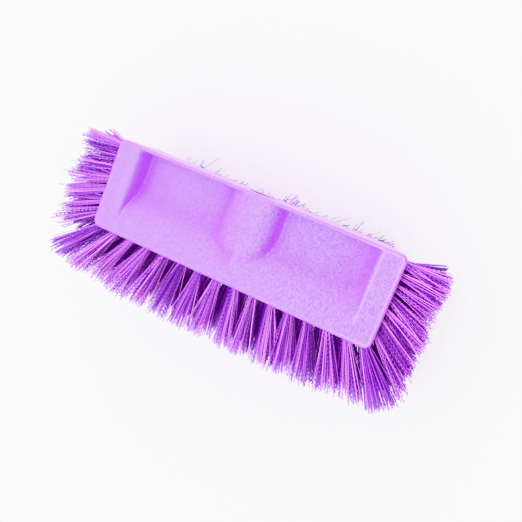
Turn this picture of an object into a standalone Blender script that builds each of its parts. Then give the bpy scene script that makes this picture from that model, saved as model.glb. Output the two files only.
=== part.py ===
"""Tile scrub brush head: a moulded foam-plastic block with tufts on its front, ends and underside.

Metres, +Z up. The block's top face is level, its length runs along X, and the handle socket opens
in the rear face (+Y). The brush stands on the trimmed tips of its bottom tufts at Z = 0.
"""

import math

import bmesh
import bpy
from mathutils import Matrix, Vector

# Block
BLOCK_LENGTH = 0.254
BLOCK_WIDTH = 0.0775
BLOCK_THICKNESS = 0.038
CORNER_RADIUS = 0.006
RIM_HEIGHT = 0.004
FRONT_SLOPE = math.radians(26)
END_SLOPE = math.radians(22)
TOP_EDGE_RADIUS = 0.0012
CORNER_SEGMENTS = 5
EDGE_SEGMENTS = 2

# Pockets in the top face
POCKET_DEPTH = 0.018
POCKET_END_RIM = 0.0205
POCKET_REAR_RIM = 0.003
POCKET_FRONT_RIM = 0.0145
POCKET_FRONT_SLOPE = math.radians(38)
POCKET_SHOULDER_RADIUS = 0.016
POCKET_END_DRAFT = math.radians(10)
POCKET_REAR_DRAFT = math.radians(3)
POCKET_FILLET = 0.002
SHOULDER_POINTS = 4

# Boss between the pockets, around the socket
BOSS_HALF_WIDTH = 0.0175
BOSS_DRAFT = math.radians(24)
BOSS_NOSE_FROM_REAR = 0.0405
BOSS_SEGMENTS = 40

# Handle socket in the rear face
SOCKET_MOUTH_RADIUS = 0.011
SOCKET_TAPER = math.radians(1.8)
SOCKET_DEPTH = 0.045
SOCKET_DROP = 0.0155
SOCKET_SEGMENTS = 40

# Tufts: each row is fused to a slice of the block's face, set in a groove
TUFT_WIDTH = 0.0052
SLICE_WIDTH = 0.0066
SLICE_DEPTH = 0.0028
SLICE_END_LIP = 0.0007
SEAT_GAP = 0.0003
STRAND_NECK_AT = 0.28
STRAND_NECK_SIZE = 0.5
STRAND_TIP_SIZE = 0.66
TUFT_SPREAD = 0.0036

FRONT_TUFT_LENGTH = 0.054
END_TRIM = 0.036
BOTTOM_TRIM = 0.050

FRONT_PITCH = 0.0163
END_PITCH = 0.0093
UPPER_ROW_BELOW_RIM = 0.007
LOWER_ROW_BELOW_RIM = 0.020

FRONT_FAN = math.radians(27)
FRONT_UPPER_LIFT = math.radians(17)
FRONT_LOWER_LIFT = math.radians(6)

END_FAN_REAR = math.radians(4)
END_FAN_FRONT = math.radians(33)
END_UPPER_LIFT = math.radians(7)
END_LOWER_LIFT = math.radians(1)
END_ROW_REAR_INSET = 0.0068

CORNER_TUFT_COUNT = 2
CORNER_PITCH = 0.0125
CORNER_FIRST_BELOW_RIM = 0.0085
CORNER_AZIMUTH = math.radians(5)
CORNER_TURN = math.radians(35)
CORNER_LOWER_LIFT = math.radians(4)
CORNER_UPPER_LIFT = math.radians(20)

BOTTOM_ROW_SPACING = 0.013
BOTTOM_FRONT_INSET = 0.0062
BOTTOM_REAR_INSET = 0.008
BOTTOM_FAN = math.radians(10)
BOTTOM_FRONT_LEAN = math.radians(-16)
BOTTOM_REAR_LEAN = math.radians(6)

OVERSHOOT = 0.005
FLAT_ANGLE = math.radians(0.5)
SHARP_ANGLE = math.radians(30)

PART_NAME = "tile_scrub_brush"


def clear_scene():
    for obj in list(bpy.data.objects):
        bpy.data.objects.remove(obj, do_unlink=True)


def new_collection(name):
    collection = bpy.data.collections.new(name)
    bpy.context.scene.collection.children.link(collection)
    return collection


def new_material(name, color, roughness):
    material = bpy.data.materials.new(name)
    material.use_nodes = True
    shader = material.node_tree.nodes["Principled BSDF"]
    shader.inputs["Base Color"].default_value = (*color, 1.0)
    shader.inputs["Roughness"].default_value = roughness
    shader.inputs["Metallic"].default_value = 0.0
    return material


def add_object(name, bm, collection, parent, material=None):
    mesh = bpy.data.meshes.new(name)
    bm.to_mesh(mesh)
    bm.free()
    mesh.shade_smooth()
    mesh.set_sharp_from_angle(angle=SHARP_ANGLE)
    if material:
        mesh.materials.append(material)
    obj = bpy.data.objects.new(name, mesh)
    obj.parent = parent
    collection.objects.link(obj)
    return obj


def hide_cutter(obj):
    obj.hide_render = True
    obj.display_type = "WIRE"


def face_half_length(depth):
    """Half the block's length at a depth below its top face."""
    return BLOCK_LENGTH / 2 - max(0.0, depth - RIM_HEIGHT) * math.tan(END_SLOPE)


def front_y(depth):
    """The front face's Y at a depth below the top face."""
    return -BLOCK_WIDTH / 2 + max(0.0, depth - RIM_HEIGHT) * math.tan(FRONT_SLOPE)


def block_solid():
    """A box with rounded corners, whose front and end faces fall back below an upright rim."""
    bm = bmesh.new()
    bmesh.ops.create_cube(bm, size=1.0)
    bmesh.ops.scale(bm, vec=(BLOCK_LENGTH, BLOCK_WIDTH, BLOCK_THICKNESS), verts=bm.verts)
    bmesh.ops.translate(bm, vec=(0, 0, -BLOCK_THICKNESS / 2), verts=bm.verts)
    upright = [e for e in bm.edges if abs(e.verts[0].co.z - e.verts[1].co.z) > BLOCK_THICKNESS / 2]
    bmesh.ops.bevel(
        bm, geom=upright, offset=CORNER_RADIUS, segments=CORNER_SEGMENTS, profile=0.5, affect="EDGES")
    bmesh.ops.bisect_plane(
        bm, geom=bm.verts[:] + bm.edges[:] + bm.faces[:],
        plane_co=(0, 0, -RIM_HEIGHT), plane_no=(0, 0, 1))
    for vert in bm.verts:
        depth = -vert.co.z
        vert.co.x -= math.copysign(BLOCK_LENGTH / 2 - face_half_length(depth), vert.co.x)
        if vert.co.y < 0:
            vert.co.y += front_y(depth) + BLOCK_WIDTH / 2
    rim = [e for e in bm.edges if all(v.co.z > -RIM_HEIGHT / 2 for v in e.verts)]
    bmesh.ops.bevel(
        bm, geom=rim, offset=TOP_EDGE_RADIUS, segments=EDGE_SEGMENTS, profile=0.5, affect="EDGES")
    return bm


def pocket_outline():
    """The pocket's section in Y and Z: rear wall, floor, front slope and its rounded shoulder."""
    rear = BLOCK_WIDTH / 2 - POCKET_REAR_RIM
    rear_lean = math.tan(POCKET_REAR_DRAFT)
    rim_edge = -BLOCK_WIDTH / 2 + POCKET_FRONT_RIM
    radius = POCKET_SHOULDER_RADIUS
    points = [
        (rear + OVERSHOOT * rear_lean, OVERSHOOT),
        (rear - POCKET_DEPTH * rear_lean, -POCKET_DEPTH),
    ]
    slope_end_y = rim_edge + radius * math.sin(POCKET_FRONT_SLOPE)
    slope_end_z = radius * (math.cos(POCKET_FRONT_SLOPE) - 1)
    floor_y = slope_end_y + (POCKET_DEPTH + slope_end_z) / math.tan(POCKET_FRONT_SLOPE)
    points.append((floor_y, -POCKET_DEPTH))
    for step in range(SHOULDER_POINTS):
        angle = POCKET_FRONT_SLOPE * (1 - step / SHOULDER_POINTS)
        points.append((rim_edge + radius * math.sin(angle), radius * (math.cos(angle) - 1)))
    last_angle = POCKET_FRONT_SLOPE / SHOULDER_POINTS
    run_out = OVERSHOOT / 2
    points.append((points[-1][0] - run_out / math.tan(last_angle), points[-1][1] + run_out))
    points.append((points[-1][0], OVERSHOOT))
    return points


def pocket_cutter_solid():
    half = BLOCK_LENGTH / 2 - POCKET_END_RIM
    bm = bmesh.new()
    section = bm.faces.new([bm.verts.new((-half, y, z)) for y, z in pocket_outline()])
    grown = bmesh.ops.extrude_face_region(bm, geom=[section])["geom"]
    far_side = [v for v in grown if isinstance(v, bmesh.types.BMVert)]
    bmesh.ops.translate(bm, vec=(2 * half, 0, 0), verts=far_side)
    for vert in bm.verts:
        vert.co.x += math.copysign(vert.co.z * math.tan(POCKET_END_DRAFT), vert.co.x)
    bmesh.ops.recalc_face_normals(bm, faces=bm.faces)
    floor_edges = [
        e for e in bm.edges
        if all(v.co.z < -POCKET_DEPTH / 2 for v in e.verts)
        and (abs(e.verts[0].co.x - e.verts[1].co.x) < OVERSHOOT or e.verts[0].co.y > POCKET_FRONT_RIM)
    ]
    bmesh.ops.bevel(
        bm, geom=floor_edges, offset=POCKET_FILLET, segments=EDGE_SEGMENTS, profile=0.5, affect="EDGES")
    return bm


def boss_radius(z):
    return BOSS_HALF_WIDTH - z * math.tan(BOSS_DRAFT)


def boss_solid():
    """A drafted boss with a round nose, which the pocket cutter goes round."""
    bottom = -POCKET_DEPTH - OVERSHOOT
    top = 2 * OVERSHOOT
    bm = bmesh.new()
    for y in (BLOCK_WIDTH / 2 - BOSS_NOSE_FROM_REAR, BLOCK_WIDTH / 2 + 2 * BOSS_HALF_WIDTH):
        for z in (bottom, top):
            bmesh.ops.create_circle(
                bm, segments=BOSS_SEGMENTS, radius=boss_radius(z), matrix=Matrix.Translation((0, y, z)))
    bmesh.ops.delete(bm, geom=bm.edges[:], context="EDGES_FACES")
    hull = bmesh.ops.convex_hull(bm, input=bm.verts)
    inside = {v for v in hull["geom_interior"] if isinstance(v, bmesh.types.BMVert)}
    bmesh.ops.delete(bm, geom=list(inside), context="VERTS")
    bmesh.ops.dissolve_limit(bm, angle_limit=FLAT_ANGLE, verts=bm.verts[:], edges=bm.edges[:])
    return bm


def socket_cutter_solid():
    """A tapered round hole along Y, wider at its mouth in the rear face."""
    length = SOCKET_DEPTH + OVERSHOOT
    bm = bmesh.new()
    bmesh.ops.create_cone(
        bm, cap_ends=True, segments=SOCKET_SEGMENTS,
        radius1=SOCKET_MOUTH_RADIUS + OVERSHOOT * math.tan(SOCKET_TAPER),
        radius2=SOCKET_MOUTH_RADIUS - SOCKET_DEPTH * math.tan(SOCKET_TAPER),
        depth=length, matrix=Matrix.Rotation(math.radians(90), 4, "X"))
    return bm


class Row:
    """A straight row of tufts on one slice; its local X runs along the row and Z out of the face.

    fan and lean turn each tuft along the row and across it, by its share of the way along. The tufts
    are cut flat at trim above the face or, without a trim, all have the same length.
    """

    def __init__(self, name, count, pitch, centre, along, outward, lean, fan, length=None, trim=None):
        self.name = name
        self.count = count
        self.pitch = pitch
        self.centre = centre
        self.along = along.normalized()
        self.outward = outward.normalized()
        self.lean = lean
        self.fan = fan
        self.length = length
        self.trim = trim

    def slice_length(self):
        return (self.count - 1) * self.pitch + TUFT_WIDTH + 2 * SLICE_END_LIP

    def tuft_x(self, index):
        return (index - (self.count - 1) / 2) * self.pitch

    def reach(self, index):
        """From a tuft's root to the middle of its tip."""
        share = index / (self.count - 1)
        direction = Vector((math.tan(self.fan(share)), math.tan(self.lean(share)), 1.0))
        if self.trim:
            return direction * self.trim
        return direction.normalized() * self.length

    def place(self, obj):
        across = self.outward.cross(self.along)
        turn = Matrix((self.along, across, self.outward)).transposed()
        obj.location = self.centre
        obj.rotation_euler = turn.to_euler()


def grow_strand(bm, root, tip):
    """Draws one three-sided strand out of a root face, narrowed at a neck and again at its tip."""
    start = root.calc_center_median()
    face = root
    for share, size in ((STRAND_NECK_AT, STRAND_NECK_SIZE), (1.0, STRAND_TIP_SIZE)):
        face = bmesh.ops.extrude_discrete_faces(bm, faces=[face])["faces"][0]
        middle = face.calc_center_median()
        target = start.lerp(tip, share)
        for vert in face.verts:
            vert.co = target + (vert.co - middle) * size


def tuft_row_solid(row):
    bm = bmesh.new()
    bmesh.ops.create_grid(bm, x_segments=row.count, y_segments=1, size=0.5)
    half = row.slice_length() / 2
    for vert in bm.verts:
        vert.co.x = max(-half, min(half, vert.co.x * row.count * row.pitch))
        vert.co.y *= SLICE_WIDTH
    cells = bm.faces[:]
    lowered = bmesh.ops.extrude_face_region(bm, geom=cells)["geom"]
    base = [v for v in lowered if isinstance(v, bmesh.types.BMVert)]
    bmesh.ops.translate(bm, vec=(0, 0, -SLICE_DEPTH), verts=base)
    bmesh.ops.recalc_face_normals(bm, faces=bm.faces)
    bmesh.ops.inset_individual(bm, faces=cells, thickness=SLICE_END_LIP / 2)
    cells.sort(key=lambda face: face.calc_center_median().x)
    for index, cell in enumerate(cells):
        middle = cell.calc_center_median()
        root = Vector((row.tuft_x(index), 0, 0))
        for vert in cell.verts:
            side = vert.co - middle
            vert.co.x = root.x + math.copysign(TUFT_WIDTH / 2, side.x)
            vert.co.y = math.copysign(TUFT_WIDTH / 2, side.y)
        for strand in bmesh.ops.poke(bm, faces=[cell])["faces"]:
            outward = (strand.calc_center_median() - root).normalized()
            grow_strand(bm, strand, root + row.reach(index) + outward * TUFT_SPREAD)
    return bm


def groove_cutter_solid(row):
    """The groove that a slice lies in: its own size and a gap all round, open past the face."""
    bm = bmesh.new()
    bmesh.ops.create_cube(bm, size=1.0)
    depth = SLICE_DEPTH + SEAT_GAP + OVERSHOOT
    size = (row.slice_length() + 2 * SEAT_GAP, SLICE_WIDTH + 2 * SEAT_GAP, depth)
    bmesh.ops.scale(bm, vec=size, verts=bm.verts)
    bmesh.ops.translate(bm, vec=(0, 0, OVERSHOOT - depth / 2), verts=bm.verts)
    return bm


def even(first, last):
    """An angle that changes evenly along a row."""
    return lambda share: first + share * (last - first)


def tufts_that_fit(length, pitch, odd=None):
    count = max(2, int(length / pitch) + 1)
    if odd is not None and count % 2 != int(odd):
        count -= 1
    return max(2, count)


def front_rows():
    """Two rows across the front, the lower one staggered by half a pitch."""
    down = Vector((0, math.sin(FRONT_SLOPE), -math.cos(FRONT_SLOPE)))
    outward = Vector((0, -math.cos(FRONT_SLOPE), -math.sin(FRONT_SLOPE)))
    places = (
        ("front_upper_tufts", UPPER_ROW_BELOW_RIM, FRONT_UPPER_LIFT, False),
        ("front_lower_tufts", LOWER_ROW_BELOW_RIM, FRONT_LOWER_LIFT, True),
    )
    rows = []
    for name, below, lift, odd in places:
        depth = RIM_HEIGHT + below * math.cos(FRONT_SLOPE)
        usable = 2 * (face_half_length(depth) - CORNER_RADIUS - SLICE_WIDTH)
        centre = Vector((0, front_y(RIM_HEIGHT), -RIM_HEIGHT)) + below * down
        rows.append(Row(
            name, tufts_that_fit(usable, FRONT_PITCH, odd), FRONT_PITCH, centre,
            Vector((1, 0, 0)), outward, even(lift, lift), even(-FRONT_FAN, FRONT_FAN),
            length=FRONT_TUFT_LENGTH))
    return rows


def end_rows():
    """Two rows on each end, laid out from the rear and fanned towards the front corner."""
    places = (
        ("end_upper_tufts", UPPER_ROW_BELOW_RIM, END_UPPER_LIFT, 0.0),
        ("end_lower_tufts", LOWER_ROW_BELOW_RIM, END_LOWER_LIFT, END_PITCH / 2),
    )
    rows = []
    sides = (
        (-1, "left", even(END_FAN_REAR, END_FAN_FRONT)),
        (1, "right", even(-END_FAN_FRONT, -END_FAN_REAR)),
    )
    for side, side_name, fan in sides:
        outward = Vector((side * math.cos(END_SLOPE), 0, -math.sin(END_SLOPE)))
        for name, below, lift, stagger in places:
            depth = RIM_HEIGHT + below * math.cos(END_SLOPE)
            rear = BLOCK_WIDTH / 2 - END_ROW_REAR_INSET - stagger
            front = front_y(depth) + CORNER_RADIUS + SLICE_WIDTH / 2
            count = tufts_that_fit(rear - front, END_PITCH)
            centre = Vector((
                side * (BLOCK_LENGTH / 2 - below * math.sin(END_SLOPE)),
                rear - (count - 1) * END_PITCH / 2,
                -depth))
            rows.append(Row(
                f"{side_name}_{name}", count, END_PITCH, centre, Vector((0, side, 0)), outward,
                even(lift, lift), fan, trim=END_TRIM))
    return rows


def corner_rows():
    """An upright pair of tufts at each front corner, set back so that the slice's sides are buried."""
    set_back = CORNER_RADIUS - math.sqrt(CORNER_RADIUS ** 2 - (SLICE_WIDTH / 2) ** 2)
    rows = []
    for side, side_name in ((-1, "left"), (1, "right")):
        sideways = Vector((side * math.sin(CORNER_AZIMUTH), -math.cos(CORNER_AZIMUTH), 0))
        slant = Vector((side * math.tan(END_SLOPE), -math.tan(FRONT_SLOPE), 0))
        outward = sideways - Vector((0, 0, slant.dot(sideways)))
        up = slant + Vector((0, 0, 1))
        below = CORNER_FIRST_BELOW_RIM + (CORNER_TUFT_COUNT - 1) * CORNER_PITCH / 2
        arc_centre = Vector((side * (BLOCK_LENGTH / 2 - CORNER_RADIUS), -BLOCK_WIDTH / 2 + CORNER_RADIUS, 0))
        at_rim = arc_centre + sideways * CORNER_RADIUS - Vector((0, 0, RIM_HEIGHT))
        centre = at_rim - up.normalized() * below - outward.normalized() * set_back
        rows.append(Row(
            f"front_{side_name}_corner_tufts", CORNER_TUFT_COUNT, CORNER_PITCH, centre, up, outward,
            even(-side * CORNER_TURN, -side * CORNER_TURN), even(CORNER_LOWER_LIFT, CORNER_UPPER_LIFT),
            length=FRONT_TUFT_LENGTH))
    return rows


def bottom_rows():
    """Rows across the underside, staggered in turn, leaning out at the front and the rear."""
    first = front_y(BLOCK_THICKNESS) + BOTTOM_FRONT_INSET
    last = BLOCK_WIDTH / 2 - BOTTOM_REAR_INSET
    row_count = tufts_that_fit(last - first, BOTTOM_ROW_SPACING)
    usable = 2 * (face_half_length(BLOCK_THICKNESS) - CORNER_RADIUS - SLICE_WIDTH / 2)
    rows = []
    for index in range(row_count):
        share = index / (row_count - 1)
        lean = BOTTOM_FRONT_LEAN + share * (BOTTOM_REAR_LEAN - BOTTOM_FRONT_LEAN)
        centre = Vector((0, first + index * BOTTOM_ROW_SPACING, -BLOCK_THICKNESS))
        rows.append(Row(
            f"bottom_tufts_{index + 1}", tufts_that_fit(usable, FRONT_PITCH, index % 2 == 0),
            FRONT_PITCH, centre, Vector((-1, 0, 0)), Vector((0, 0, -1)), even(lean, lean),
            even(-BOTTOM_FAN, BOTTOM_FAN), trim=BOTTOM_TRIM))
    return rows


def stand_on_floor(root, parts):
    """Moves the whole brush so that its box is centred on the origin and stands on Z = 0."""
    bpy.context.view_layer.update()
    points = [obj.matrix_world @ vert.co for obj in parts for vert in obj.data.vertices]
    low = [min(point[axis] for point in points) for axis in range(3)]
    high = [max(point[axis] for point in points) for axis in range(3)]
    root.location = (-(low[0] + high[0]) / 2, -(low[1] + high[1]) / 2, -low[2])


def main():
    clear_scene()
    parts = new_collection(PART_NAME)
    cutters = new_collection("cutters")
    guides = new_collection("guides")
    foam_plastic = new_material("foamed_polypropylene", (0.62, 0.30, 0.90), 0.45)
    bristle_plastic = new_material("bristle_polyester", (0.40, 0.09, 0.62), 0.35)

    root = bpy.data.objects.new(PART_NAME, None)
    parts.objects.link(root)

    boss = add_object("boss_guide", boss_solid(), guides, root)
    hide_cutter(boss)
    pocket = add_object("pocket_cutter", pocket_cutter_solid(), cutters, root)
    hide_cutter(pocket)
    keep_boss = pocket.modifiers.new("keep_boss", "BOOLEAN")
    keep_boss.operation = "DIFFERENCE"
    keep_boss.object = boss

    socket = add_object("socket_cutter", socket_cutter_solid(), cutters, root)
    socket.location = (0, BLOCK_WIDTH / 2 - (SOCKET_DEPTH - OVERSHOOT) / 2, -SOCKET_DROP)
    hide_cutter(socket)

    block = add_object("block", block_solid(), parts, root, foam_plastic)
    for row in front_rows() + end_rows() + corner_rows() + bottom_rows():
        row.place(add_object(row.name, tuft_row_solid(row), parts, root, bristle_plastic))
        groove = add_object(f"{row.name}_groove", groove_cutter_solid(row), cutters, root)
        row.place(groove)
        hide_cutter(groove)

    cut = block.modifiers.new("pockets_socket_and_grooves", "BOOLEAN")
    cut.operation = "DIFFERENCE"
    cut.operand_type = "COLLECTION"
    cut.collection = cutters

    stand_on_floor(root, [obj for obj in parts.objects if obj.type == "MESH"])


main()
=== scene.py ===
"""Looks of the tile scrub brush head: a moulded foam-plastic block and tufts of separate filaments.

Lengths are metres. Shapes are worked out in the block's own frame, whose origin is the middle of the
block's top face, and moved into the row frame by ORIGIN.
"""

from collections import namedtuple
import math

import bmesh
import bpy
import numpy as np
from mathutils import Matrix, Vector


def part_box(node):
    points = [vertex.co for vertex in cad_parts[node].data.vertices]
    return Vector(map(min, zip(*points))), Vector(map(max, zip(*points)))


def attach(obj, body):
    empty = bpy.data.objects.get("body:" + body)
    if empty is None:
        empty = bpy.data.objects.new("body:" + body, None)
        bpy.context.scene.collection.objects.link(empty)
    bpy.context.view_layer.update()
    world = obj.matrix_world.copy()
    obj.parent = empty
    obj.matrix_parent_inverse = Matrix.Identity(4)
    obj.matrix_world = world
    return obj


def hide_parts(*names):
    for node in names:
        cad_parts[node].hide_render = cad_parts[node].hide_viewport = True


# Block, as in the CAD
BLOCK_LENGTH = 0.254
BLOCK_WIDTH = 0.0775
BLOCK_THICKNESS = 0.038
CORNER_RADIUS = 0.006
RIM_HEIGHT = 0.004
FRONT_SLOPE = math.radians(26)
END_SLOPE = math.radians(22)

# Pockets and boss, as in the CAD
POCKET_DEPTH = 0.018
POCKET_END_RIM = 0.0205
POCKET_REAR_RIM = 0.003
POCKET_FRONT_RIM = 0.0145
POCKET_FRONT_SLOPE = math.radians(38)
POCKET_SHOULDER_RADIUS = 0.016
POCKET_END_DRAFT = math.radians(10)
POCKET_REAR_DRAFT = math.radians(3)
BOSS_HALF_WIDTH = 0.0175
BOSS_DRAFT = math.radians(24)
BOSS_NOSE_FROM_REAR = 0.0405

# Handle socket, as in the CAD, and its thread
SOCKET_MOUTH_RADIUS = 0.011
SOCKET_TAPER = math.radians(1.8)
SOCKET_DEPTH = 0.045
SOCKET_DROP = 0.0155
SOCKET_SIDES = 48
SOCKET_STEP = 0.0006
SOCKET_OUTSIDE = 0.002
THREAD_PITCH = 0.00508
THREAD_HEIGHT = 0.0013
THREAD_STEEPNESS = 3
THREAD_STARTS_AT = 0.003
LEAD_IN = 0.0009

# Soft edges of the moulding
TOP_EDGE_RADIUS = 0.0024
BOTTOM_EDGE_RADIUS = 0.0008
EDGE_STEPS = 4
RIM_EDGE_HALF = 0.0004
FLOOR_FILLET = 0.0055
LEFT_END_FILLET = 0.0015
RIGHT_END_FILLET = 0.015
END_FILLET_FULL_AT = 0.011
REAR_FILLET = 0.0012
BOSS_FILLET = 0.0035
END_WALL_CREST = 0.0042
REAR_RIM_CREST = 0.0008
BOSS_CREST = 0.010
SLOPE_CREST = 0.009

# Places that several shapes share
CORNER_X = BLOCK_LENGTH / 2 - CORNER_RADIUS
CORNER_Y = BLOCK_WIDTH / 2 - CORNER_RADIUS
TOP_CORNER_RADIUS = CORNER_RADIUS - TOP_EDGE_RADIUS
END_WALL_X = BLOCK_LENGTH / 2 - POCKET_END_RIM
REAR_WALL_Y = BLOCK_WIDTH / 2 - POCKET_REAR_RIM
POCKET_FRONT_Y = -BLOCK_WIDTH / 2 + POCKET_FRONT_RIM
BOSS_NOSE_Y = BLOCK_WIDTH / 2 - BOSS_NOSE_FROM_REAR

# Mesh of the top face: the spacing of its lines, and the bands beside the steep walls
HEIGHT_STEPS = 24
OPEN_SPACING = 0.0016
EVEN_SPACING = 0.0009
EDGE_SPACING = 0.0006
BOSS_FOOT_SPACING = 0.0004
END_WALL_SPACING = 0.0003
REAR_WALL_SPACING = 0.00018
BOSS_FOOT_FROM = 0.022
BOSS_FOOT_TO = 0.030
END_WALL_BAND_INSIDE = 0.006
END_WALL_BAND_OUTSIDE = 0.0015
REAR_WALL_BAND = 0.0022
WELD_DISTANCE = 0.00002
LEVEL_TOLERANCE = 1e-6
SHARP_ANGLE = math.radians(32)

# Painted shade in the hollows and the socket, and painted highlight lines at the wall feet and the top
# edge
HOLLOW_REACH = 0.008
HOLLOW_STEPS = 4
WIDE_REACH = 0.036
WIDE_SHARE_LEFT = 1.2
WIDE_SHARE_RIGHT = 1.9
# the socket's wall is painted near black: painted shade
SOCKET_PAINTED_SHADE = 3.0
# painted shade along the boss's left flank
BOSS_SIDE_OUT = -0.003
BOSS_SIDE_WIDTH = 0.009
BOSS_SIDE_SHADE = 0.5
# a painted highlight along the foot of each right-facing pocket wall
FOOT_LINE_OUT = 0.0014
FOOT_LINE_WIDTH = 0.0006
FOOT_HIGHLIGHT_STRENGTH = 1.2
# a painted highlight along the top edge's crest, strongest at the right end
EDGE_LINE_WIDTH = 0.0007
EDGE_LINE_LEAST = 0.2
EDGE_LINE_GROWS = (0.085, 0.105)
WALL_LINE_OUT = 0.0018

# Places of the tufts, and the rows underneath, as in the CAD
FRONT_UPPER_COUNT = 14
FRONT_LOWER_COUNT = 13
FRONT_PITCH = 0.0163
END_UPPER_COUNT = 7
END_LOWER_COUNT = 6
END_PITCH = 0.0093
END_ROW_REAR_INSET = 0.0068
UPPER_ROW_BELOW_RIM = 0.007
LOWER_ROW_BELOW_RIM = 0.020
SLICE_WIDTH = 0.0066
CORNER_TUFT_COUNT = 2
CORNER_PITCH = 0.0125
CORNER_FIRST_BELOW_RIM = 0.0085
CORNER_AZIMUTH = math.radians(5)
BOTTOM_COUNTS = (13, 12, 13, 12)
BOTTOM_ROW_SPACING = 0.013
BOTTOM_FRONT_INSET = 0.0062
BOTTOM_TRIM = 0.050
BOTTOM_FAN = math.radians(10)
BOTTOM_FRONT_LEAN = math.radians(-16)
BOTTOM_REAR_LEAN = math.radians(6)

# Lengths and turns of the front, end and corner tufts, which are bent unevenly in the photo
FRONT_TUFT_LENGTH = 0.0545
FRONT_FAN_LEFT = math.radians(-36)
FRONT_FAN_RIGHT = math.radians(22)
FRONT_SQUARE_AT = 0.42
FRONT_UPPER_LIFT_LEFT = math.radians(22)
FRONT_UPPER_LIFT_RIGHT = math.radians(13)
FRONT_LOWER_LIFT = math.radians(11)
END_TRIM = 0.037
REAR_CORNER_TRIM = 0.0225
LEFT_END_FAN_REAR = math.radians(4)
LEFT_END_FAN_FRONT = math.radians(29)
LEFT_END_LIFT_REAR = math.radians(16)
LEFT_END_LIFT_FRONT = math.radians(19)
RIGHT_END_FAN_REAR = math.radians(3)
RIGHT_END_FAN_FRONT = math.radians(41)
RIGHT_END_LIFT = math.radians(12)
END_LOWER_DROP = math.radians(8)
CORNER_LEFT_LENGTH = 0.061
CORNER_RIGHT_LENGTH = 0.056
CORNER_LOWER_TURN = math.radians(22)
CORNER_LEFT_TURN = math.radians(35)
CORNER_RIGHT_TURN = math.radians(27)
CORNER_LOWER_LIFT = math.radians(4)
CORNER_UPPER_LIFT = math.radians(27)

# Drilled holes and filaments
HOLE_RADIUS = 0.0032
HOLE_DEPTH = 0.008
HOLE_SIDES = 16
ROOT_DEPTH = 0.004
STRAIGHT_PER_TUFT = 20
CRIMPED_PER_TUFT = 56
STRAIGHT_RADIUS = 0.00033
CRIMPED_RADIUS = 0.00033
STRAIGHT_RINGS = 5
STRAIGHT_SIDES = 5
CRIMPED_SIDES = 3
CRIMP_LENGTH = 0.0036
CRIMP_HEIGHT = 0.0006
CRIMP_HEIGHT_SPREAD = (0.6, 1.2)
CRIMP_GROWTH = 8
CRIMP_TURN_SCATTER = 0.5
CRIMP_PHASE_SCATTER = 0.12
CRIMP_PHASES = (0.1, 0.9)
TUFT_PHASES = (0.2, 0.8)
UPPER_SPLAY = (math.radians(8), math.radians(8))
LOWER_SPLAY = (math.radians(18), math.radians(8))
CORNER_LEFT_SPLAY = (math.radians(11), math.radians(6))
CORNER_RIGHT_SPLAY = (math.radians(11), math.radians(12))
BOTTOM_SPLAY = (math.radians(9), math.radians(5))
LOWER_FILL = 100
CORNER_FILL = 60
FILL_RINGS = 4
FILL_SIDES = 4
REAR_WISPS = 5
WISP_RADIUS = 0.00034
WISP_SIDES = 4
WISP_SLOPES_LOW = (-0.15, 0.05)
WISP_SLOPES_HIGH = (0.5, 0.27)
LONGEST_FILAMENT = 1.12
FILAMENT_SCATTER = math.radians(2.2)
STRAY_SHARE = 0.025
STRAY_SCATTER = math.radians(8)
TUFT_SWAY = math.radians(1.8)
# straight filaments painted pink: painted highlight; fill lifted out of the darkest tones: painted light;
# rear wisps near black: painted shade
STRAIGHT_TONES = (0.7, 1.0)
CRIMPED_TONES = (0.06, 0.70)
FILL_TONES = (0.15, 0.65)
WISP_TONES = (0.0, 0.03)
BEND_AT_TIP = 0.0013
LENGTH_SCATTER = 0.001
FLOOR_CLEARANCE = 0.0003
LEAST_APPROACH = 0.01
NEARLY_UPRIGHT = 0.8
FILAMENT_SEED = 71

# Camera, in the block's frame: a 622 px focal length on a frame 522 px wide
FOCAL_PIXELS = 622
FRAME_PIXELS = 522
SENSOR_WIDTH = 36
CAMERA_PLACE = Vector((0.14021, 0.06852, 0.46875))
CAMERA_TURN = (math.radians(-3.185), math.radians(16.359), math.radians(22.307))

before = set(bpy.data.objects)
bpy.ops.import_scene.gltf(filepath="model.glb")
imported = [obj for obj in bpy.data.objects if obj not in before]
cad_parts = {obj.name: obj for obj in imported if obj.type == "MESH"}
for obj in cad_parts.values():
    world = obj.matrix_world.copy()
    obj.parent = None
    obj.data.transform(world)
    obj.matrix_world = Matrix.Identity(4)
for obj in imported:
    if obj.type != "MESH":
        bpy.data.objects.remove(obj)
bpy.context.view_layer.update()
block_low, block_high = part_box("block")
ORIGIN = Vector((
    (block_low.x + block_high.x) / 2,
    block_high.y - BLOCK_WIDTH / 2,
    block_high.z))


def mesh_object(name, mesh, material):
    mesh.materials.append(material)
    obj = bpy.data.objects.new(name, mesh)
    bpy.context.scene.collection.objects.link(obj)
    return obj


def add_node(tree, kind, **values):
    """A shader node; values are its properties, or its inputs where a name isn't a property."""
    node = tree.nodes.new(kind)
    for name, value in values.items():
        if hasattr(node, name):
            setattr(node, name, value)
        else:
            node.inputs[name.replace("_", " ")].default_value = value
    return node


# Block surface

def fillet_union(first, second, radius):
    """Signed distance to two solids joined with a fillet."""
    share = np.clip(0.5 + 0.5 * (second - first) / radius, 0.0, 1.0)
    return second + (first - second) * share - radius * share * (1.0 - share)


def rounded_cut(first, second, radius):
    """Signed distance to what two solids share, with the edge between them rounded."""
    return -fillet_union(-first, -second, radius)


def from_boss_middle(x, y):
    """The distance from the boss's middle plane or, in front of it, from the axis of the boss's nose."""
    return np.hypot(x, np.minimum(y - BOSS_NOSE_Y, 0.0))


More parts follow.
